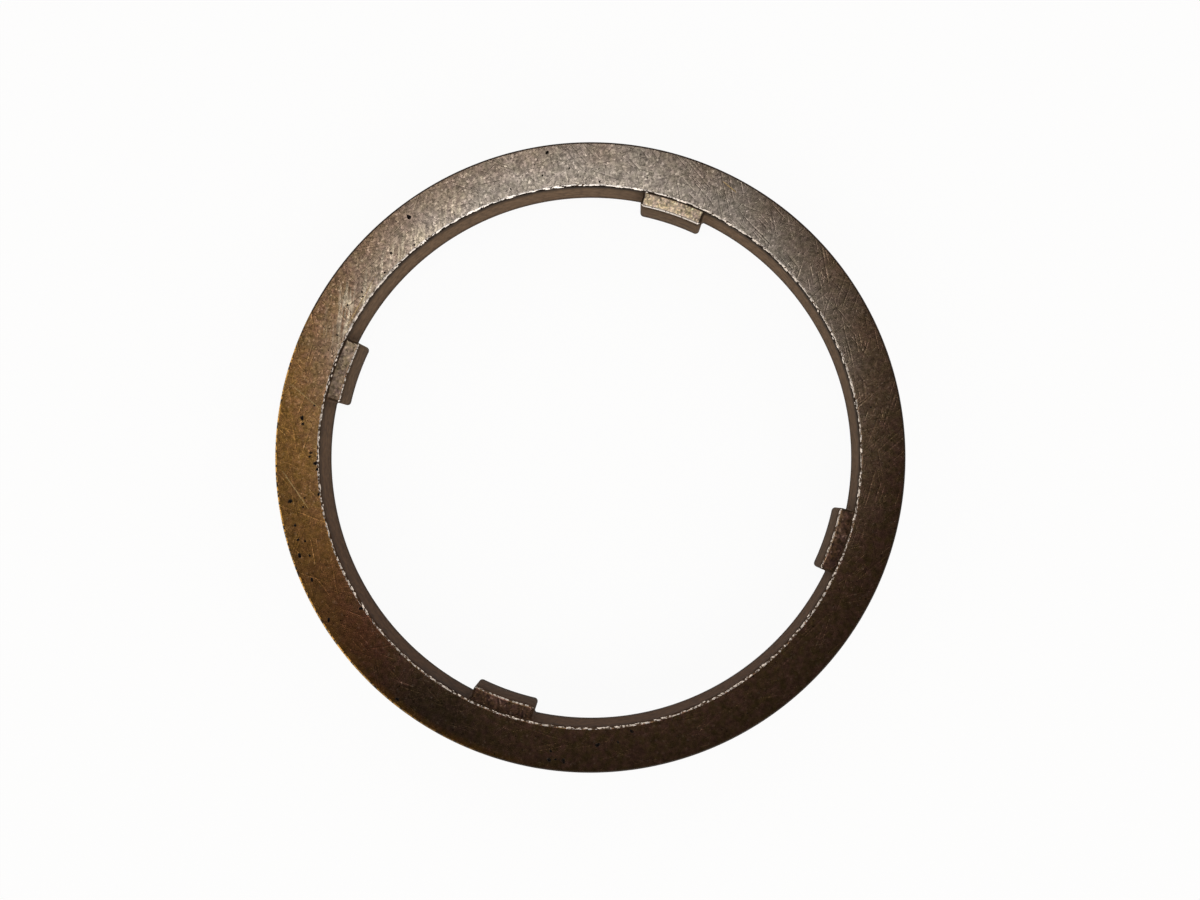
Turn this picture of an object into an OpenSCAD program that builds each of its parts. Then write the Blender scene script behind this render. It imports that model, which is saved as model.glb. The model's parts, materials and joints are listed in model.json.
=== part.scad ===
// Synchronizer ring: one piece of steel with two flat ground faces and driving
// lugs that stand into its bore. The upper face of a lug lies a step below the
// upper face of the ring, and its lower face is flush with the lower face.
// Millimetres, with the axis on +Z, the lower face on Z = 0 and a lug on +X.

/* [Ring] */
// Diameter of the bore between the lugs
bore_d = 84; // [50:0.5:130]
// Width of the ring's section, from the bore to the outside
ring_w = 7; // [4:0.1:16]
// Height of the ring between its two ground faces
ring_h = 7.5; // [4:0.1:14]

/* [Lugs] */
// Number of lugs, evenly spaced round the bore
lug_count = 4; // [2:1:8]
// Width of a lug between its two parallel sides
lug_w = 10; // [5:0.1:18]
// How far a lug stands into the bore
lug_reach = 2.2; // [1:0.1:6]
// How far the upper face of a lug lies below the upper face of the ring
lug_step = 0.8; // [0:0.1:2.5]
// Radius of the upright corners at the tip of a lug
lug_corner_r = 0.6; // [0.2:0.1:2]
// Radius of the fillets where the sides of a lug meet the bore
lug_root_r = 0.4; // [0.2:0.1:2]

/* [Worn edges] */
// Radius of the edges round the bore and along the tips of the lugs
inner_edge_r = 0.35; // [0.1:0.05:0.8]
// Radius of the edges round the outside
outer_edge_r = 0.3; // [0.1:0.05:0.8]

/* [Hidden] */

bore_r = bore_d / 2;
outer_r = bore_r + ring_w;
tip_r = bore_r - lug_reach;
lug_half_w = lug_w / 2;
lug_h = ring_h - lug_step;
// A lug and the ring are one piece, so a lug's solid runs to the middle of the ring's section
lug_seat_r = bore_r + ring_w / 2;
// How far a cutting shape runs out past the surface that it cuts
cut_past = 0.5;

steel = "#6f655a";
$fn = 180;
edge_fn = 48;

// The corner of a square, to be cut away so that a rounded edge of radius r is left
module edge_relief(r) {
    difference() {
        translate([-cut_past, -cut_past]) square(r + cut_past);
        translate([r, r]) circle(r, $fn = edge_fn);
    }
}

// Reliefs at the lower and the upper edge of a wall that is height tall
module edge_relief_pair(r, height) {
    edge_relief(r);
    translate([0, height]) mirror([0, 1]) edge_relief(r);
}

// Half section through the plain ring, with its four worn edges
module ring_section() {
    difference() {
        translate([bore_r, 0]) square([ring_w, ring_h]);
        translate([bore_r, 0]) edge_relief_pair(inner_edge_r, ring_h);
        translate([outer_r, 0]) mirror([1, 0]) edge_relief_pair(outer_edge_r, ring_h);
    }
}

// Distance along X to a point that lies radius from the axis and y off the X axis
function along_x(radius, y) = sqrt(radius * radius - y * y);

// Plan of the fillet between the +Y side of a lug and the bore
module root_fillet() {
    y = lug_half_w + lug_root_r;
    centre = [along_x(bore_r - lug_root_r, y), y];
    in_ring = centre * (bore_r + cut_past) / (bore_r - lug_root_r);
    inside_lug_y = lug_half_w - cut_past;
    difference() {
        polygon([[centre.x, inside_lug_y], centre, in_ring, [in_ring.x, inside_lug_y]]);
        translate(centre) circle(lug_root_r, $fn = edge_fn);
    }
}

// Plan of what rounding takes off the +Y corner at the tip of a lug
module tip_corner_relief() {
    y = lug_half_w - lug_corner_r;
    centre = [along_x(tip_r + lug_corner_r, y), y];
    in_bore = centre * (tip_r - cut_past) / (tip_r + lug_corner_r);
    past_side_y = lug_half_w + cut_past;
    difference() {
        polygon([centre, [centre.x, past_side_y], [in_bore.x, past_side_y], in_bore]);
        translate(centre) circle(lug_corner_r, $fn = edge_fn);
    }
}

// Draws the children as they are, and again mirrored to the -Y side
module both_sides() {
    children();
    mirror([0, 1]) children();
}

// Plan of the lug on +X: parallel sides, a tip bored true to the axis, rounded corners and fillets
module lug_plan() {
    difference() {
        union() {
            translate([0, -lug_half_w]) square([lug_seat_r, lug_w]);
            both_sides() root_fillet();
        }
        circle(tip_r);
        both_sides() tip_corner_relief();
    }
}

module lug() {
    difference() {
        linear_extrude(lug_h) lug_plan();
        rotate_extrude() translate([tip_r, 0]) edge_relief_pair(inner_edge_r, lug_h);
    }
}

module synchronizer_ring() {
    color(steel) {
        rotate_extrude() ring_section();
        for (i = [0 : lug_count - 1]) rotate(i * 360 / lug_count) lug();
    }
}

synchronizer_ring();
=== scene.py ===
import json
import math
import random

import bmesh
import bpy
from mathutils import Matrix, Vector, noise


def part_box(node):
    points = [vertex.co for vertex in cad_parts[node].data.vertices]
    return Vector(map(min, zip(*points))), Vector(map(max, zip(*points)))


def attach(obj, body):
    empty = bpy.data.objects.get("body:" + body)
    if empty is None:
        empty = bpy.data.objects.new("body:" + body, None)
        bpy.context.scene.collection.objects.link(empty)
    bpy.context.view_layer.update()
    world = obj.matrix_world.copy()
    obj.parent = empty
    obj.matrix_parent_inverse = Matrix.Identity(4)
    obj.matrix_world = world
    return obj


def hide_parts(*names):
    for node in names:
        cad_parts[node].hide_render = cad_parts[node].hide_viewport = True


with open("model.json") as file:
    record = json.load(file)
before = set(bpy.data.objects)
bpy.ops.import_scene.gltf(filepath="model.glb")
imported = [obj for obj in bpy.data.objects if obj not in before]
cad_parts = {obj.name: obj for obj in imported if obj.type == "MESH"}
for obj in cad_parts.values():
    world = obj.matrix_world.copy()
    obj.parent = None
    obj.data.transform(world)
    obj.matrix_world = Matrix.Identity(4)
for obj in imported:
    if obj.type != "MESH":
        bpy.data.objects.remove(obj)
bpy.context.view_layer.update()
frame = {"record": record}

# The ring blank: a steel ring of rectangular section, turned all over and then ground
# on its two flat faces. Use has worn its edges round, the inner ones the most.
MM = 0.001
outer_wall = next(mount for mount in frame["record"]["mounts"] if mount["name"] == "outer_wall")
outer_r = outer_wall["dims"]["r_mm"] * MM
ring_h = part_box("synchronizer_ring")[1].z
bore_r = 42.0 * MM
inner_edge_r = 0.35 * MM
outer_edge_r = 0.30 * MM
edge_steps = 6
turn_steps = 720
# A narrow band beside each rounded edge keeps the flat faces and the walls shading flat
band_w = 0.03 * MM
weld_gap = 0.001 * MM
flat_cos = 0.999


def select(piece, kind, wanted):
    """Selects just those vertices, edges or faces of the piece in edit mode that are wanted."""
    bpy.ops.mesh.select_mode(type=kind)
    bpy.ops.mesh.select_all(action="DESELECT")
    mesh = bmesh.from_edit_mesh(piece.data)
    elements = {"VERT": mesh.verts, "EDGE": mesh.edges, "FACE": mesh.faces}[kind]
    for element in [each for each in elements if wanted(each)]:
        element.select_set(True)
    mesh.select_flush_mode()
    bmesh.update_edit_mesh(piece.data)


def from_axis(point):
    """How far a point lies from the ring's axis."""
    return math.hypot(point.x, point.y)


def outward(face):
    """How far a face looks away from the ring's axis: 1 straight out, -1 straight in."""
    centre = face.calc_center_median()
    return face.normal.dot(Vector((centre.x, centre.y, 0)).normalized())


bpy.ops.object.select_all(action="DESELECT")
bpy.ops.mesh.primitive_plane_add(size=1)
ring = bpy.context.object
ring.name = "lugged_steel_ring"
bpy.ops.object.mode_set(mode="EDIT")
bpy.ops.transform.resize(value=(outer_r - bore_r, ring_h, 1))
bpy.ops.transform.rotate(value=math.pi / 2, orient_axis="X", center_override=(0, 0, 0))
bpy.ops.transform.translate(value=((outer_r + bore_r) / 2, 0, ring_h / 2))
for wall_r, edge_r in ((bore_r, inner_edge_r), (outer_r, outer_edge_r)):
    select(ring, "VERT", lambda vertex: abs(vertex.co.x - wall_r) < weld_gap)
    bpy.ops.mesh.bevel(offset=edge_r, segments=edge_steps, affect="VERTICES")
bpy.ops.mesh.select_all(action="SELECT")
bpy.ops.mesh.delete(type="ONLY_FACE")
bpy.ops.mesh.select_all(action="SELECT")
bpy.ops.mesh.spin(steps=turn_steps, angle=2 * math.pi, center=(0, 0, 0), axis=(0, 0, 1))
bpy.ops.mesh.select_all(action="SELECT")
bpy.ops.mesh.remove_doubles(threshold=weld_gap)
bpy.ops.mesh.normals_make_consistent(inside=False)
for wanted in (
    lambda face: face.normal.z > flat_cos,
    lambda face: face.normal.z < -flat_cos,
    lambda face: outward(face) > flat_cos,
    lambda face: outward(face) < -flat_cos,
):
    select(ring, "FACE", wanted)
    bpy.ops.mesh.inset(thickness=band_w)
bpy.ops.object.mode_set(mode="OBJECT")

# The bore's upper edge has taken knocks, so its rounding is worn deeper in some places
knock_depth = 0.14 * MM
knock_length = 0.9 * MM
for vertex in ring.data.vertices:
    inward = bore_r + inner_edge_r - from_axis(vertex.co)
    upward = vertex.co.z - (ring_h - inner_edge_r)
    if inward > 0 and upward > 0:
        # Nothing moves at the two ends of the rounding, and the most at its middle
        share = math.sin(2 * math.atan2(inward, upward))
        depth = knock_depth * share * abs(noise.noise(vertex.co / knock_length))
        shrunk = 1 + depth / from_axis(vertex.co)
        vertex.co = (vertex.co.x * shrunk, vertex.co.y * shrunk, vertex.co.z - depth)

# The four driving lugs: part of the same steel, left standing a quarter turn apart when
# the bore was cut. Their tips are bored true and their upper faces lie below the ring's.
lug_count = 4
lug_half_w = 5.0 * MM
lug_tip_r = 39.8 * MM
lug_step = 0.8 * MM
lug_corner_r = 0.6 * MM
lug_root_r = 0.4 * MM
lug_edge_r = 0.4 * MM
lug_seat_r = (bore_r + outer_r) / 2
lug_top = ring_h - lug_step
# The lug's solid sinks this far into the ring, and stays this far off its lower face
sunk = 0.01 * MM
arc_steps = 6
tip_steps = 16


def arc(centre, radius, start, end, steps):
    """Points along an arc from one angle to another, both ends included."""
    angles = [start + (end - start) * step / steps for step in range(steps + 1)]
    return [(centre[0] + radius * math.cos(a), centre[1] + radius * math.sin(a)) for a in angles]


def beside_lug(distance, y):
    """A point that lies this far from the ring's axis and y off the lug's own."""
    return math.sqrt(distance * distance - y * y), y


root = beside_lug(bore_r + sunk - lug_root_r, lug_half_w + lug_root_r)
corner = beside_lug(lug_tip_r + lug_corner_r, lug_half_w - lug_corner_r)
root_turn = math.atan2(root[1], root[0])
corner_turn = math.atan2(corner[1], corner[0])
half_plan = [(lug_seat_r, lug_half_w + lug_root_r)]
half_plan += arc(root, lug_root_r, root_turn, -math.pi / 2, arc_steps)
half_plan += arc(corner, lug_corner_r, math.pi / 2, math.pi + corner_turn, arc_steps)
tip = arc((0, 0), lug_tip_r, corner_turn, -corner_turn, tip_steps)[1:-1]
plan = half_plan + tip + [(x, -y) for x, y in reversed(half_plan)]

bpy.ops.object.select_all(action="DESELECT")
bpy.ops.mesh.primitive_circle_add(vertices=len(plan), radius=1, fill_type="NGON")
lugs = bpy.context.object
for vertex, (x, y) in zip(lugs.data.vertices, plan):
    vertex.co = (x, y, sunk)
bpy.ops.object.mode_set(mode="EDIT")
bpy.ops.mesh.select_all(action="SELECT")
bpy.ops.mesh.extrude_region_move(TRANSFORM_OT_translate={"value": (0, 0, lug_top - sunk)})
bpy.ops.mesh.select_all(action="SELECT")
bpy.ops.mesh.normals_make_consistent(inside=False)


def stands_free(edge):
    """True for a level edge of the lug that isn't buried in the ring."""
    first, second = (vertex.co for vertex in edge.verts)
    level = abs(first.z - second.z) < weld_gap
    return level and max(first.x, second.x) < lug_seat_r - weld_gap


select(lugs, "EDGE", stands_free)
bpy.ops.mesh.bevel(offset=lug_edge_r, segments=edge_steps, affect="EDGES")
bpy.ops.object.mode_set(mode="OBJECT")


def join_copies(first, meshes):
    """Adds each mesh to the first object, which then holds them all."""
    bpy.ops.object.select_all(action="DESELECT")
    for index, mesh in enumerate(meshes):
        copy = bpy.data.objects.new(f"copy_{index}", mesh)
        bpy.context.collection.objects.link(copy)
        copy.select_set(True)
    first.select_set(True)
    bpy.context.view_layer.objects.active = first
    bpy.ops.object.join()


copies = []
for index in range(1, lug_count):
    copies.append(lugs.data.copy())
    copies[-1].transform(Matrix.Rotation(2 * math.pi * index / lug_count, 4, "Z"))
join_copies(lugs, copies)


def cut_or_join(piece, other, operation):
    """Cuts the other mesh out of the piece, or joins it on, and takes the other one away."""
    bpy.ops.object.select_all(action="DESELECT")
    bpy.context.view_layer.objects.active = piece
    boolean = piece.modifiers.new("boolean", "BOOLEAN")
    boolean.operation = operation
    boolean.solver = "EXACT"
    boolean.material_mode = "TRANSFER"
    boolean.object = other
    bpy.ops.object.modifier_apply(modifier=boolean.name)
    bpy.data.objects.remove(other)


cut_or_join(ring, lugs, "UNION")

# The brown film: old oil and oxide that has dried on the steel. Handling has rubbed it thin
# on one side of the ring, and near the bore, in ragged patches. That thinning is partly painted
# sheen where the lamp's sheen falls, and the whole film on the far side partly painted shade.
lit_and_rubbed_angle = math.radians(100)
# Towards the rubbed and lit side it lies whole up to the first distance, and is gone at the second
film_and_shade_whole = -8 * MM
film_and_shade_gone = 46 * MM
# Each millimetre nearer to the bore counts as this many towards the rubbed and lit side
film_and_sheen_across = 3.6
film_and_shade_ragged = 26 * MM
ragged_size = 6 * MM
noise_middle = 0.5
middle_r = (bore_r + outer_r) / 2
patch_stretch = 3.6
patch_ragged = 9 * MM
sludge_angle = 259
sludge_core = 0.5 * MM
sludge_reach = 9 * MM
sludge_stretch = 1.6


def add(tree, kind, inputs, out=None, **settings):
    """Adds a node and gives the output that is named, or else the first one in use.
    Each input is a value, or the output of another node that feeds it."""
    node = tree.nodes.new("ShaderNode" + kind)
    for name, value in settings.items():
        setattr(node, name, value)
    sockets = {socket.identifier: socket for socket in node.inputs}
    for name, value in inputs.items():
        if isinstance(value, bpy.types.NodeSocket):
            tree.links.new(value, sockets[name])
        else:
            sockets[name].default_value = value
    return node.outputs[out] if out else next(output for output in node.outputs if output.enabled)


def polar(degrees, distance, z):
    """A place on the ring, by its angle from the lug on +X and its distance from the axis."""
    turn = math.radians(degrees)
    return Vector((distance * math.cos(turn), distance * math.sin(turn), z))


def ragged(tree, place):
    """Soft patches that break up the outline of a stain, as values round 0."""
    patches = add(tree, "TexNoise", {"Vector": place, "Scale": 1 / ragged_size, "Detail": 4})
    return add(tree, "Math", {"Value": patches, "Value_001": noise_middle}, operation="SUBTRACT")


def across(tree, place):
    """How far a place lies outside the middle of the ring's width."""
    level = add(tree, "VectorMath", {"Vector": place, "Vector_001": (1, 1, 0)}, operation="MULTIPLY")
    distance = add(tree, "VectorMath", {"Vector": level}, out="Value", operation="LENGTH")
    return add(tree, "Math", {"Value": distance, "Value_001": middle_r}, operation="SUBTRACT")


def film_and_sheen(tree, place, towards=lit_and_rubbed_angle, less_across=film_and_sheen_across):
    """How thick the film lies, partly painted light: 0 rubbed off and lit, 1 whole and in shade."""
    turned = add(tree, "Mapping", {"Vector": place, "Rotation": (0, 0, -towards)})
    rubbed_and_lit = add(tree, "SeparateXYZ", {"Vector": turned}, out="X")
    for value, weight in ((ragged(tree, place), film_and_shade_ragged), (across(tree, place), -less_across)):
        rubbed_and_lit = add(tree, "Math", {"Value": value, "Value_001": weight, "Value_002": rubbed_and_lit},
                     operation="MULTIPLY_ADD")
    return add(tree, "MapRange", {
        "Value": rubbed_and_lit, "From Min": film_and_shade_whole, "From Max": film_and_shade_gone, "To Min": 1, "To Max": 0})


def patch(tree, place, degrees, distance, core, reach, stretch=patch_stretch):
    """How strong a stain is that is drawn out along the ring: 1 at its core, 0 past its reach."""
    drawn_out = add(tree, "Mapping", {
        "Vector": place, "Location": polar(degrees, distance, ring_h),
        "Rotation": (0, 0, math.radians(degrees)), "Scale": (1, stretch, 1)}, vector_type="TEXTURE")
    away = add(tree, "VectorMath", {"Vector": drawn_out}, out="Value", operation="LENGTH")
    away = add(tree, "Math", {
        "Value": ragged(tree, place), "Value_001": patch_ragged, "Value_002": away},
        operation="MULTIPLY_ADD")
    return add(tree, "MapRange", {
        "Value": away, "From Min": core, "From Max": reach, "To Min": 1, "To Max": 0},
        interpolation_type="SMOOTHSTEP")


def sludge(tree, place):
    """How thick dark sludge lies, which has dried beside one lug."""
    return patch(tree, place, sludge_angle, middle_r, sludge_core, sludge_reach, stretch=sludge_stretch)


# The walls: turned steel, left under a dull brown oxide. To the eye it is a dark brown with
# no shine, with a band of painted shade below the bore's upper edge, painted contact shadow
# at the foot of the inner walls, and darker on the tips of the lugs.
turning_pitch = 0.22 * MM
turning_length = 12 * MM
turning_depth = 0.01 * MM
mottle_size = 0.9 * MM
wall_across = 5.5
shade_band_top = ring_h - inner_edge_r
shade_band_foot = shade_band_top - 1.8 * MM
# The light that the wall keeps under the painted shade band, where the film is thin and where it is
# whole
shade_band_bare = 0.1
shade_band_on_film = 0.6
sludge_shade = 0.45
# Painted contact shadow: the inner walls darken towards their foot over this height
foot_low = 0.4 * MM
foot_high = 1.7 * MM
foot_shade = 0.35
tip_shade = 0.78
# Painted shade lies on the inside only, so the outer wall is reckoned far below for the band
# under the edge, and far above for the foot, by this many times its distance from mid-width
outside_shift = 2


def linear(hex_colour):
    """A colour written as sRGB hex, as the linear values that Blender works in."""
    parts = [int(hex_colour[start:start + 2], 16) / 255 for start in (1, 3, 5)]
    return [p / 12.92 if p <= 0.04045 else ((p + 0.055) / 1.055) ** 2.4 for p in parts] + [1]


def start_finish(name, metallic, roughness):
    """Starts a finish of the ring: its material, its tree, its shader and the ring's coordinates."""
    material = bpy.data.materials.new(name)
    material.use_nodes = True
    tree = material.node_tree
    shader = tree.nodes["Principled BSDF"]
    shader.inputs["Metallic"].default_value = metallic
    shader.inputs["Roughness"].default_value = roughness
    return material, tree, shader, add(tree, "TexCoord", {}, out="Object")


wall_steel, tree, shader, place = start_finish("oxidised_turned_steel", 0, 0.8)
shader.inputs["Specular IOR Level"].default_value = 0.1
turning = add(tree, "Mapping", {
    "Vector": place, "Scale": (1 / turning_length, 1 / turning_length, 1 / turning_pitch)})
lines = add(tree, "TexNoise", {"Vector": turning, "Scale": 1, "Detail": 2})
mottle = add(tree, "TexNoise", {"Vector": place, "Scale": 1 / mottle_size, "Detail": 4})
from_middle = across(tree, place)
outside = add(tree, "Math", {"Value": from_middle, "Value_001": 0}, operation="MAXIMUM")
level = add(tree, "SeparateXYZ", {"Vector": place}, out="Z")
shade_band_level = add(tree, "Math", {
    "Value": outside, "Value_001": -outside_shift, "Value_002": level}, operation="MULTIPLY_ADD")
foot_level = add(tree, "Math", {
    "Value": outside, "Value_001": outside_shift, "Value_002": level}, operation="MULTIPLY_ADD")
# Painted light: the walls' film is thin and paler where the light falls, thick and darker elsewhere
wall_film_and_shade = film_and_sheen(tree, place, less_across=wall_across)
# Painted shade: a dark band below the bore's upper edge, darkest where the film is thin
shade_band = add(tree, "MapRange", {
    "Value": wall_film_and_shade, "To Min": shade_band_bare, "To Max": shade_band_on_film})
wall_colour = add(tree, "Mix", {
    "Factor_Float": wall_film_and_shade, "A_Color": linear("#5e4c3b"), "B_Color": linear("#473426")},
    data_type="RGBA")
# What each shade follows, the range of that, and the light that the wall keeps at its two ends
for value, low, high, first, last in (
    (lines, 0.3, 0.7, 0.85, 1.15),
    (mottle, 0.3, 0.7, 0.7, 1.3),
    # painted shade below the bore's upper edge
    (shade_band_level, shade_band_foot, shade_band_top, 1.05, shade_band),
    (sludge(tree, place), 0, 1, 1, sludge_shade),
    # painted contact shadow at the foot of the inner walls
    (foot_level, foot_low, foot_high, foot_shade, 1),
    (from_middle, lug_tip_r - middle_r, bore_r - middle_r, tip_shade, 1),
):
    shade = add(tree, "MapRange", {
        "Value": value, "From Min": low, "From Max": high, "To Min": first, "To Max": last})
    wall_colour = add(tree, "VectorMath", {"Vector": wall_colour, "Scale": shade}, operation="SCALE")
tree.links.new(wall_colour, shader.inputs["Base Color"])
turned_relief = add(tree, "Bump", {"Height": lines, "Strength": 0.3, "Distance": turning_depth})
tree.links.new(turned_relief, shader.inputs["Normal"])
ring.data.materials.clear()
ring.data.materials.append(wall_steel)

# The two flat faces: ground steel under the film. A fine grain of bright and dark specks
# sparkles in it, with tiny pores and hairlines, streaks where it was wiped beside one lug,
# and a golden and a rusty stain on one side. The streaks are drawn as bright as a painted sheen,
# and the film and the brightness by the bore carry painted sheen and shade.
# Real specks and hairlines are too fine to show, so they are drawn as coarse as they need to be
speck_size = 0.28 * MM
speck_rough = 0.31
speck_smooth = 0.23
grain_depth = 0.01 * MM
cloud_size = 0.6 * MM
tone_size = 1.0 * MM
pore_spacing = 1.5 * MM
pore_size = 0.16 * MM
pore_dark = 0.25
glint_low = 0.8
glint_high = 0.95
glint_most = 0.12
# The golden stain has its middle outside the ring, and a fringe of it runs on along the edge
golden_angle = 206
golden_r = 60 * MM
golden_core = 7 * MM
golden_reach = 28 * MM
fringe_angle = 250
fringe_reach = 24 * MM
fringe_w = 1.4 * MM
rust_angle = 231
rust_r = 45 * MM
rust_reach = 7 * MM
wiped_angle = 160
wiped_r = 41 * MM
wiped_core = 1 * MM
wiped_reach = 6.5 * MM
streak_way = math.radians(104)
streak_length = 4 * MM
streak_spacing = 0.4 * MM
# Painted sheen: the faces are drawn brighter by the bore than by the outer edge
bore_shade = 1.15
rim_shade = 0.85
hairline_length = 7 * MM
hairline_spacing = 0.4 * MM
hairline_depth = 0.007 * MM
hairline_step = 30
hairline_on_film = 0.6
film_and_shade_half = 0.5
ground_cos = 0.97


def golden_stain(tree, place):
    """How deep the golden stain is."""
    return patch(tree, place, golden_angle, golden_r, golden_core, golden_reach)


def golden_fringe(tree, place):
    """How deep the stain is along the outer edge, where it runs on past the rest of it."""
    rim = add(tree, "MapRange", {
        "Value": across(tree, place), "From Min": outer_r - fringe_w - middle_r,
        "From Max": outer_r - outer_edge_r - middle_r})
    run_on = patch(tree, place, fringe_angle, golden_r, golden_core, fringe_reach)
    return add(tree, "Math", {"Value": rim, "Value_001": run_on}, operation="MULTIPLY")


def grained(tree, place, colour, strength=1):
    """A colour broken up into darker and brighter specks and clouds, and the specks' texture."""
    specks = add(tree, "TexVoronoi", {"Vector": place, "Scale": 1 / speck_size}, out="Color")
    clouds = add(tree, "TexNoise", {"Vector": place, "Scale": 1 / cloud_size, "Detail": 3})
    # Each texture's range, and how much of the colour is kept at the two ends of it
    for texture, low, high, dark, bright in (
        (specks, 0.1, glint_low, 0.64, 1.23),
        (specks, glint_low, glint_high, 1, 1.4),
        (clouds, 0.3, 0.7, 0.68, 1.32),
    ):
        shade = add(tree, "MapRange", {
            "Value": texture, "From Min": low, "From Max": high,
            "To Min": 1 + strength * (dark - 1), "To Max": 1 + strength * (bright - 1)})
        colour = add(tree, "VectorMath", {"Vector": colour, "Scale": shade}, operation="SCALE")
    glints = add(tree, "MapRange", {
        "Value": specks, "From Min": glint_low, "From Max": glint_high, "To Max": glint_most})
    colour = add(tree, "Mix", {"Factor_Float": glints, "A_Color": colour, "B_Color": linear("#d8cdbf")},
                 data_type="RGBA")
    return colour, specks


def toned(tree, place, pinkish, olive):
    """A colour that wavers between a pinkish and an olive tone, as thin oxide does."""
    waver = add(tree, "TexNoise", {"Vector": place, "Scale": 1 / tone_size, "Detail": 4})
    share = add(tree, "MapRange", {"Value": waver, "From Min": 0.35, "From Max": 0.65})
    return add(tree, "Mix", {
        "Factor_Float": share, "A_Color": linear(pinkish), "B_Color": linear(olive)}, data_type="RGBA")


ground_steel, tree, shader, place = start_finish("ground_steel", 1, speck_rough)
# The film dulls the steel's shine at a low angle
shader.inputs["Specular Tint"].default_value = linear("#c0b8b0")
# Where it is thin the film only tints the steel, and where it is thick it hides it
# The film is partly painted light: thin and pale on the lamp's side, thick and dark away from it
face_film_and_sheen = film_and_sheen(tree, place)
thin_film_and_shade = add(tree, "MapRange", {"Value": face_film_and_sheen, "From Max": film_and_shade_half})
thick_film_and_shade = add(tree, "MapRange", {"Value": face_film_and_sheen, "From Min": film_and_shade_half})
rust = patch(tree, place, rust_angle, rust_r, 0, rust_reach)
# Wiped streaks beside one lug, drawn in a pale tone as bright as a painted sheen
wiped = add(tree, "Mapping", {
    "Vector": place, "Rotation": (0, 0, streak_way), "Scale": (streak_length, streak_spacing, MM)},
    vector_type="TEXTURE")
wiped_streaks_and_sheen = add(tree, "TexNoise", {"Vector": wiped, "Scale": 1, "Detail": 2})
wiped_streaks_and_sheen = add(tree, "MapRange", {"Value": wiped_streaks_and_sheen, "From Min": 0.48, "From Max": 0.64})
wiped_place = patch(tree, place, wiped_angle, wiped_r, wiped_core, wiped_reach)
wiped_streaks_and_sheen = add(tree, "Math", {"Value": wiped_streaks_and_sheen, "Value_001": wiped_place}, operation="MULTIPLY")
face_colour = toned(tree, place, "#867b72", "#82796d")
for share, pinkish, olive in (
    (thin_film_and_shade, "#7c6352", "#78644d"),
    (thick_film_and_shade, "#785749", "#695437"),
    (rust, "#7c4a3a", "#754a36"),
    (sludge(tree, place), "#624b3e", "#594833"),
    (golden_fringe(tree, place), "#94622c", "#906629"),
    (golden_stain(tree, place), "#b6834c", "#b38546"),
    (wiped_streaks_and_sheen, "#bbac97", "#b3a68f"),
):
    coat = toned(tree, place, pinkish, olive)
    face_colour = add(tree, "Mix", {"Factor_Float": share, "A_Color": face_colour, "B_Color": coat},
                      data_type="RGBA")
# Painted sheen: brighter by the bore than by the outer edge
painted_sheen_by_bore = add(tree, "MapRange", {
    "Value": across(tree, place), "From Min": bore_r - middle_r, "From Max": outer_r - middle_r,
    "To Min": bore_shade, "To Max": rim_shade})
pores = add(tree, "TexVoronoi", {"Vector": place, "Scale": 1 / pore_spacing}, out="Distance")
pore_shade = add(tree, "MapRange", {
    "Value": pores, "From Min": 0.5 * pore_size / pore_spacing, "From Max": pore_size / pore_spacing,
    "To Min": pore_dark, "To Max": 1})
for shade in (painted_sheen_by_bore, pore_shade):
    face_colour = add(tree, "VectorMath", {"Vector": face_colour, "Scale": shade}, operation="SCALE")
face_colour, specks = grained(tree, place, face_colour)
tree.links.new(face_colour, shader.inputs["Base Color"])
face_roughness = add(tree, "MapRange", {
    "Value": specks, "To Min": speck_rough, "To Max": speck_smooth})
tree.links.new(face_roughness, shader.inputs["Roughness"])
grain_relief = add(tree, "Bump", {"Height": specks, "Strength": 0.1, "Distance": grain_depth})
# Hairlines lie in all directions. Each shines only where it runs round the lamp's reflection,
# so that together they look like arcs about that place.
hairlines = 0
for degrees in range(0, 180, hairline_step):
    laid = add(tree, "Mapping", {
        "Vector": place, "Rotation": (0, 0, math.radians(degrees)),
        "Scale": (hairline_length, hairline_spacing, MM)}, vector_type="TEXTURE")
    grooves = add(tree, "TexNoise", {"Vector": laid, "Scale": 1, "Detail": 1})
    grooves = add(tree, "MapRange", {"Value": grooves, "From Min": 0.65, "From Max": 0.75})
    hairlines = add(tree, "Math", {"Value": grooves, "Value_001": hairlines}, operation="ADD")
bare_depth = add(tree, "MapRange", {"Value": face_film_and_sheen, "To Min": 1, "To Max": hairline_on_film})
hairlines = add(tree, "Math", {"Value": hairlines, "Value_001": bare_depth}, operation="MULTIPLY")
face_relief = add(tree, "Bump", {
    "Height": hairlines, "Strength": 1, "Distance": hairline_depth, "Normal": grain_relief}, invert=True)
tree.links.new(face_relief, shader.inputs["Normal"])


def give(piece, material, wanted):
    """Gives a finish to those faces of the piece that are wanted."""
    piece.data.materials.append(material)
    piece.active_material_index = len(piece.data.materials) - 1
    select(piece, "FACE", wanted)
    bpy.ops.object.material_slot_assign()


bpy.ops.object.select_all(action="DESELECT")
ring.select_set(True)
bpy.context.view_layer.objects.active = ring
bpy.ops.object.mode_set(mode="EDIT")
give(ring, ground_steel, lambda face: abs(face.normal.z) > ground_cos)

# The upper faces of the lugs: the same steel, but below the ground faces and so left with the
# skin of the rough part. To the eye it is paler, more matt and grainier than they are.
lug_lit_and_rubbed_angle = math.radians(103)
skin_grain = 1.6
skin_depth = 0.02 * MM
lug_skin, tree, shader, place = start_finish("pale_forged_skin", 0.85, 0.42)
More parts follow.
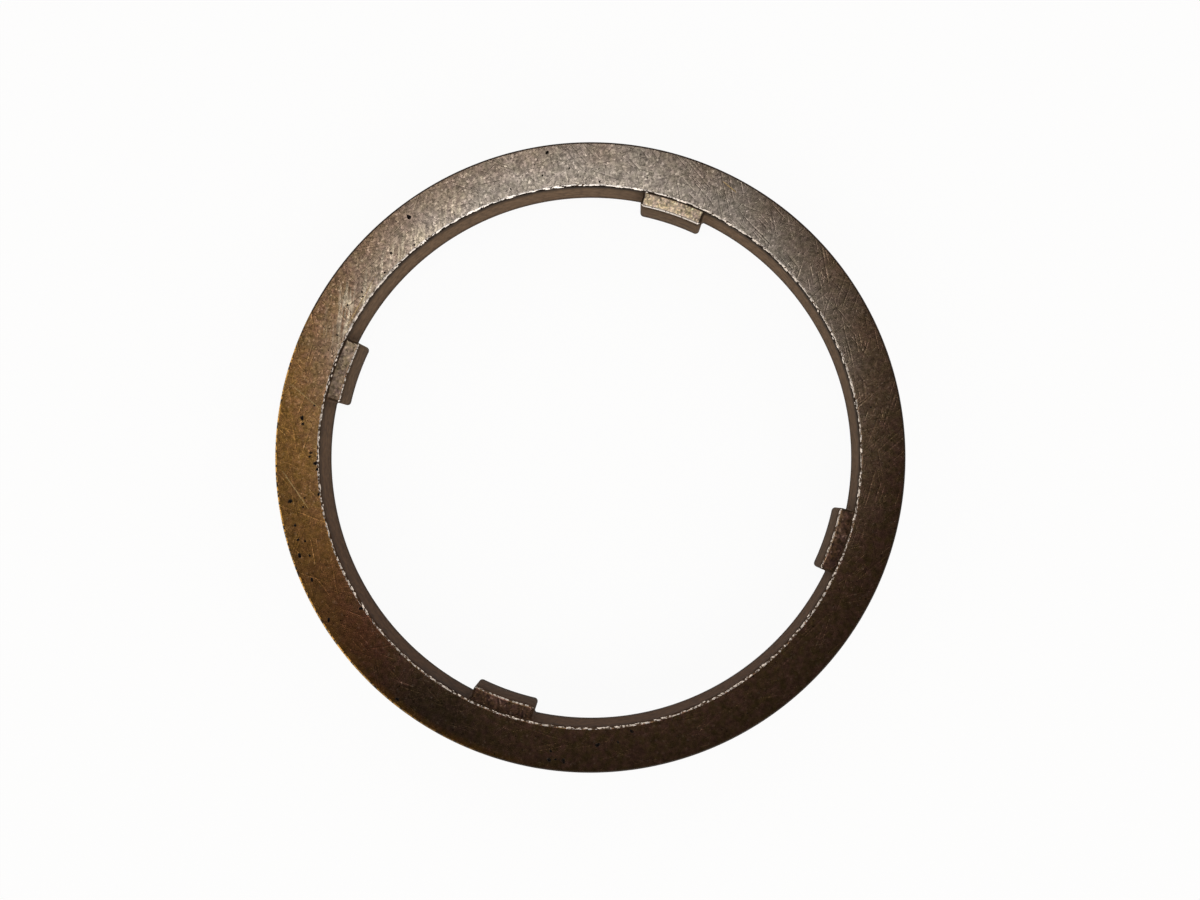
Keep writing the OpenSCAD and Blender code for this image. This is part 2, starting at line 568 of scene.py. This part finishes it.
# Painted light: the lug tops are pale where the lamp's sheen falls and dark brown away from it
lug_film_and_sheen = film_and_sheen(tree, place, towards=lug_lit_and_rubbed_angle, less_across=0)
skin_colour = add(tree, "Mix", {
    "Factor_Float": lug_film_and_sheen, "A_Color": toned(tree, place, "#dac2b0", "#d3c09c"),
    "B_Color": toned(tree, place, "#5b4138", "#553f2a")}, data_type="RGBA")
skin_colour, specks = grained(tree, place, skin_colour, strength=skin_grain)
tree.links.new(skin_colour, shader.inputs["Base Color"])
skin_relief = add(tree, "Bump", {"Height": specks, "Strength": 0.8, "Distance": skin_depth})
tree.links.new(skin_relief, shader.inputs["Normal"])


def on_lug_top(face):
    """True for a face on the flat top of a lug."""
    level = face.calc_center_median().z
    return face.normal.z > flat_cos and abs(level - lug_top) < weld_gap


give(ring, lug_skin, on_lug_top)

# The bore's upper edge and the tips of the lugs: bare steel, burnished bright by the hub
# that slides there. The film still lies in its hollows, so the bright line is a broken one.
# The line is partly a painted highlight: its pale colour is left partly matt, to shine under any light
gap_size = 0.4 * MM
gap_depth = 0.03 * MM
# The share of the hollows that stays filled everywhere, and what a whole film adds to it
always_kept = 0.35
film_kept = 0.1
gap_blur = 0.1
bright_cos = 0.7
burnished_and_highlight_steel, tree, shader, place = start_finish("burnished_steel_and_highlight", 0.7, 0.36)
hollows = add(tree, "TexNoise", {"Vector": place, "Scale": 1 / gap_size, "Detail": 2})
edge_film_and_sheen = film_and_sheen(tree, place, towards=lug_lit_and_rubbed_angle, less_across=0)
kept_film = add(tree, "Math", {
    "Value": edge_film_and_sheen, "Value_001": film_kept, "Value_002": always_kept}, operation="MULTIPLY_ADD")
bare = add(tree, "Math", {"Value": hollows, "Value_001": kept_film}, operation="SUBTRACT")
bare_share = add(tree, "MapRange", {"Value": bare, "From Min": 0, "From Max": gap_blur})
burnish_and_highlight = add(tree, "Mix", {
    "Factor_Float": edge_film_and_sheen, "A_Color": linear("#e6dfd9"), "B_Color": linear("#d8d1cc")},
    data_type="RGBA")
edge_and_highlight_colour = add(tree, "Mix", {
    "Factor_Float": bare_share, "A_Color": linear("#4a3b2f"), "B_Color": burnish_and_highlight}, data_type="RGBA")
tree.links.new(edge_and_highlight_colour, shader.inputs["Base Color"])
edge_relief = add(tree, "Bump", {"Height": hollows, "Strength": 0.5, "Distance": gap_depth})
tree.links.new(edge_relief, shader.inputs["Normal"])


def on_bright_edge(face):
    """True for a face of the upper part of the rounding along the bore or along a lug's tip."""
    centre = face.calc_center_median()
    slanted = bright_cos < face.normal.z < ground_cos
    by_bore = from_axis(centre) < bore_r + inner_edge_r and centre.z > ring_h - inner_edge_r
    on_tip = from_axis(centre) < lug_tip_r + lug_edge_r and centre.z > lug_top - lug_edge_r
    return slanted and (by_bore or on_tip)


give(ring, burnished_and_highlight_steel, on_bright_edge)

# The outer upper edge: the worn corner of the steel ring, under dark oxide with little shine;
# its darkness is partly painted shade. Where the golden stain and its fringe run over it, golden
# specks break up the oxide, drawn pale enough to be a painted glint as well as the stain.
gilt_size = 0.45 * MM
gilt_fringe = 0.35
gilt_begins = 0.2
gilt_full = 0.5
# Painted shade and glint: a dark edge with pale golden specks where the stain runs
shaded_gilt_edge, tree, shader, place = start_finish("shaded_glinting_edge", 0.3, 0.5)
shader.inputs["Specular IOR Level"].default_value = 0.2
gilt = add(tree, "TexNoise", {"Vector": place, "Scale": 1 / gilt_size, "Detail": 2})
gilt_share = add(tree, "MapRange", {"Value": gilt, "From Min": 0.42, "From Max": 0.55})
gilt_place = add(tree, "Math", {
    "Value": golden_fringe(tree, place), "Value_001": gilt_fringe,
    "Value_002": golden_stain(tree, place)}, operation="MULTIPLY_ADD")
gilt_end = add(tree, "MapRange", {"Value": gilt_place, "From Min": gilt_begins, "From Max": gilt_full})
gilt_share = add(tree, "Math", {"Value": gilt_share, "Value_001": gilt_end}, operation="MULTIPLY")
shade_and_gilt_colour = add(tree, "Mix", {
    "Factor_Float": gilt_share, "A_Color": linear("#2a2018"), "B_Color": linear("#e0ae5c")},
    data_type="RGBA")
tree.links.new(shade_and_gilt_colour, shader.inputs["Base Color"])


def on_outer_edge(face):
    """True for a face of the rounding along the outside of the upper face."""
    centre = face.calc_center_median()
    slanted = face.normal.z < flat_cos and outward(face) < flat_cos
    by_rim = from_axis(centre) > outer_r - outer_edge_r and centre.z > ring_h - outer_edge_r
    return slanted and by_rim


give(ring, shaded_gilt_edge, on_outer_edge)
bpy.ops.object.mode_set(mode="OBJECT")

# Pits and scratches in the upper face: rust has eaten small black holes, most of them on the
# stained side, and a few knocks have left grooves that show bare steel.
crust_size = 0.12 * MM
# Each pit's angle in degrees, distance from the axis and width in mm
pits = (
    (28.4, 44.3, 0.4), (106.4, 42.7, 0.4), (112.6, 44.9, 0.4), (116.6, 47.8, 0.7), (118.1, 44.3, 0.4),
    (125.1, 43.3, 0.4), (145.9, 46.7, 0.9), (148.4, 42.7, 0.4), (153.2, 44.2, 0.6), (157.0, 42.8, 0.5),
    (163.1, 43.7, 0.4), (163.8, 43.1, 0.4), (167.0, 44.4, 0.4), (173.4, 43.6, 0.4), (188.7, 43.5, 0.4),
    (191.6, 45.1, 0.8), (192.7, 44.9, 0.5), (198.5, 43.3, 0.5), (199.3, 43.5, 0.5), (200.7, 42.6, 0.7),
    (202.0, 42.4, 0.6), (207.3, 42.5, 0.6), (207.8, 47.1, 0.8), (209.3, 45.2, 0.4), (207.6, 44.7, 0.4),
    (212.5, 47.0, 0.5), (215.3, 47.1, 0.5), (215.9, 46.1, 0.5), (218.2, 47.6, 0.8), (218.9, 46.1, 0.5),
    (223.3, 47.2, 0.7), (231.5, 47.8, 0.8), (233.1, 42.6, 0.7), (251.0, 48.0, 0.7), (281.8, 47.4, 0.7),
    (281.9, 46.0, 0.5), (283.0, 47.2, 0.5), (284.5, 47.3, 0.8), (291.0, 44.7, 0.9), (295.0, 44.5, 0.5),
    (298.0, 43.1, 0.7),
)
# Each scratch's angle in degrees, distance from the axis and length in mm, and direction in degrees
scratches = ((165, 42.9, 9.7, 80), (187, 45.5, 6.8, -21), (206, 45.9, 7.4, -36), (81, 47.2, 3.3, -22))
scratch_w = 0.14 * MM
scratch_depth = 0.025 * MM
pit_depth_share = 0.4
unevenness = 0.22
smooth_angle = math.radians(25)
chance = random.Random(7)
# Black oxide fills the pits with a rough crust that gives no shine
pit_oxide, tree, shader, place = start_finish("pit_oxide", 0, 0.9)
crust = add(tree, "TexNoise", {"Vector": place, "Scale": 1 / crust_size})
pit_colour = add(tree, "Mix", {
    "Factor_Float": crust, "A_Color": linear("#0e0805"), "B_Color": linear("#26160e")},
    data_type="RGBA")
tree.links.new(pit_colour, shader.inputs["Base Color"])
# A scratch is a hair of bare steel, yellowed by the oil
scratch_steel, tree, shader, place = start_finish("scratched_steel", 1, 0.45)
shader.inputs["Base Color"].default_value = linear("#bfa577")

bpy.ops.object.select_all(action="DESELECT")
bpy.ops.mesh.primitive_ico_sphere_add(subdivisions=2, radius=0.5)
pebble = bpy.context.object


def dent(degrees, distance, size, direction):
    """The pebble, made uneven and laid half into the upper face, as a shape to cut out of it."""
    mesh = pebble.data.copy()
    for vertex in mesh.vertices:
        vertex.co *= 1 + chance.uniform(-unevenness, unevenness)
    mesh.transform(Matrix.Diagonal((*size, 1)))
    mesh.transform(Matrix.Rotation(direction, 4, "Z"))
    mesh.transform(Matrix.Translation(polar(degrees, distance, ring_h)))
    return mesh


def cut_dents(dents, finish):
    """Cuts the dents out of the ring and leaves their finish in them."""
    cutters = bpy.data.objects.new("dents", dents[0])
    bpy.context.collection.objects.link(cutters)
    join_copies(cutters, dents[1:])
    cutters.data.materials.append(finish)
    cut_or_join(ring, cutters, "DIFFERENCE")


dents = []
for degrees, distance, width in pits:
    size = Vector((1, chance.uniform(0.6, 0.9), 2 * pit_depth_share)) * width * MM
    dents.append(dent(degrees, distance * MM, size, chance.uniform(0, math.pi)))
cut_dents(dents, pit_oxide)
dents = []
for degrees, distance, length, direction in scratches:
    size = (length * MM, scratch_w, 2 * scratch_depth)
    dents.append(dent(degrees, distance * MM, size, math.radians(direction)))
cut_dents(dents, scratch_steel)
bpy.data.objects.remove(pebble)

bpy.ops.object.select_all(action="DESELECT")
ring.select_set(True)
bpy.context.view_layer.objects.active = ring
bpy.ops.object.shade_smooth_by_angle(angle=smooth_angle)
dent_slots = [
    index for index, finish in enumerate(ring.data.materials) if finish in (pit_oxide, scratch_steel)]


def on_dent_rim(edge):
    """True for an edge between a dent and what lies round it."""
    return len({face.material_index in dent_slots for face in edge.link_faces}) == 2


# The rim of a dent is sharp, however shallow the dent runs out there
bpy.ops.object.mode_set(mode="EDIT")
select(ring, "EDGE", on_dent_rim)
bpy.ops.mesh.mark_sharp()
bpy.ops.object.mode_set(mode="OBJECT")
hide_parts("synchronizer_ring")
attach(ring, "root")

# The studio floor: a wide round sheet of white card, laid under the ring. It glows for the
# camera and for shiny surfaces alone, so that it looks white and keeps a faint shadow.
floor_r = 3.0
floor_steps = 96
glow_share = 0.94


def seen_rays(tree):
    """1 for the rays by which the camera, shiny metal or glass sees a thing, and 0 for the others."""
    seen = add(tree, "LightPath", {}, out="Is Camera Ray")
    rays = seen.node.outputs
    for kind in ("Is Glossy Ray", "Is Transmission Ray"):
        seen = add(tree, "Math", {"Value": seen, "Value_001": rays[kind]}, operation="ADD")
    return seen


bpy.ops.object.select_all(action="DESELECT")
bpy.ops.mesh.primitive_circle_add(vertices=floor_steps, radius=floor_r, fill_type="NGON")
floor = bpy.context.object
floor.name = "studio_floor"
white_card = bpy.data.materials.new("white_card")
white_card.use_nodes = True
tree = white_card.node_tree
shader = tree.nodes["Principled BSDF"]
shader.inputs["Base Color"].default_value = linear("#f6f6f6")
shader.inputs["Roughness"].default_value = 0.9
shader.inputs["Specular IOR Level"].default_value = 0
glow = add(tree, "Emission", {"Color": (1, 1, 1, 1), "Strength": 1})
share = add(tree, "Math", {"Value": seen_rays(tree), "Value_001": glow_share}, operation="MULTIPLY")
card = add(tree, "MixShader", {"Fac": share, "Shader": shader.outputs[0], "Shader_001": glow})
tree.links.new(card, tree.nodes["Material Output"].inputs["Surface"])
floor.data.materials.append(white_card)

# The camera: it looks almost straight down, from a little to the right of the ring's middle.
# The ring lies turned in the picture, whose own right and up are worked out from that.
photo_turn = math.radians(18.95)
photo_right = Vector((math.cos(photo_turn), math.sin(photo_turn), 0))
photo_up = Vector((-math.sin(photo_turn), math.cos(photo_turn), 0))
camera_height = 180 * MM
camera_foot = 7.53 * MM * photo_right - 4.65 * MM * photo_up
aim = 1.95 * MM * photo_right + 0.72 * MM * photo_up + Vector((0, 0, ring_h))
camera_data = bpy.data.cameras.new("camera")
camera_data.sensor_width = 36
camera_data.lens = 33.4
camera_data.clip_start = 10 * MM
camera = bpy.data.objects.new("camera", camera_data)
bpy.context.scene.collection.objects.link(camera)
camera.location = camera_foot + Vector((0, 0, camera_height))
forward = (aim - camera.location).normalized()
side = forward.cross(photo_up).normalized()
camera.rotation_euler = Matrix((side, side.cross(forward), -forward)).transposed().to_euler()
bpy.context.scene.camera = camera

# The light: a small soft box overhead, whose sheen lies on the far side of the ring, a large
# one in front, and a room with pale walls all round and a dark ceiling.
walls_end = math.cos(math.radians(62))
ceiling_begins = math.cos(math.radians(50))
wall_light = 1.6
ceiling_light = 0.03


def soft_box(name, turn, zenith, distance, size, watts):
    """A square lamp that faces the ring, from a turn in the picture and an angle off upright."""
    lamp = bpy.data.lights.new(name, "AREA")
    lamp.size = size
    lamp.energy = watts
    box = bpy.data.objects.new(name, lamp)
    bpy.context.scene.collection.objects.link(box)
    level = math.cos(turn) * photo_right + math.sin(turn) * photo_up
    away = math.sin(zenith) * level + math.cos(zenith) * Vector((0, 0, 1))
    box.location = away * distance
    box.rotation_euler = away.to_track_quat("Z", "Y").to_euler()
    box.visible_camera = False


soft_box("overhead_box", turn=math.radians(116), zenith=math.radians(11),
         distance=0.9, size=0.36, watts=1.03)
soft_box("front_box", turn=math.radians(282), zenith=math.radians(60),
         distance=1.1, size=1.0, watts=5)
room = bpy.data.worlds.new("room")
bpy.context.scene.world = room
room.use_nodes = True
tree = room.node_tree
background = tree.nodes["Background"]
direction = add(tree, "TexCoord", {}, out="Generated")
rise = add(tree, "SeparateXYZ", {"Vector": direction}, out="Z")
room_light = add(tree, "MapRange", {
    "Value": rise, "From Min": walls_end, "From Max": ceiling_begins,
    "To Min": wall_light, "To Max": ceiling_light})
tree.links.new(room_light, background.inputs["Strength"])
background.inputs["Color"].default_value = linear("#fff4e6")
bpy.context.scene.view_settings.view_transform = "Standard"
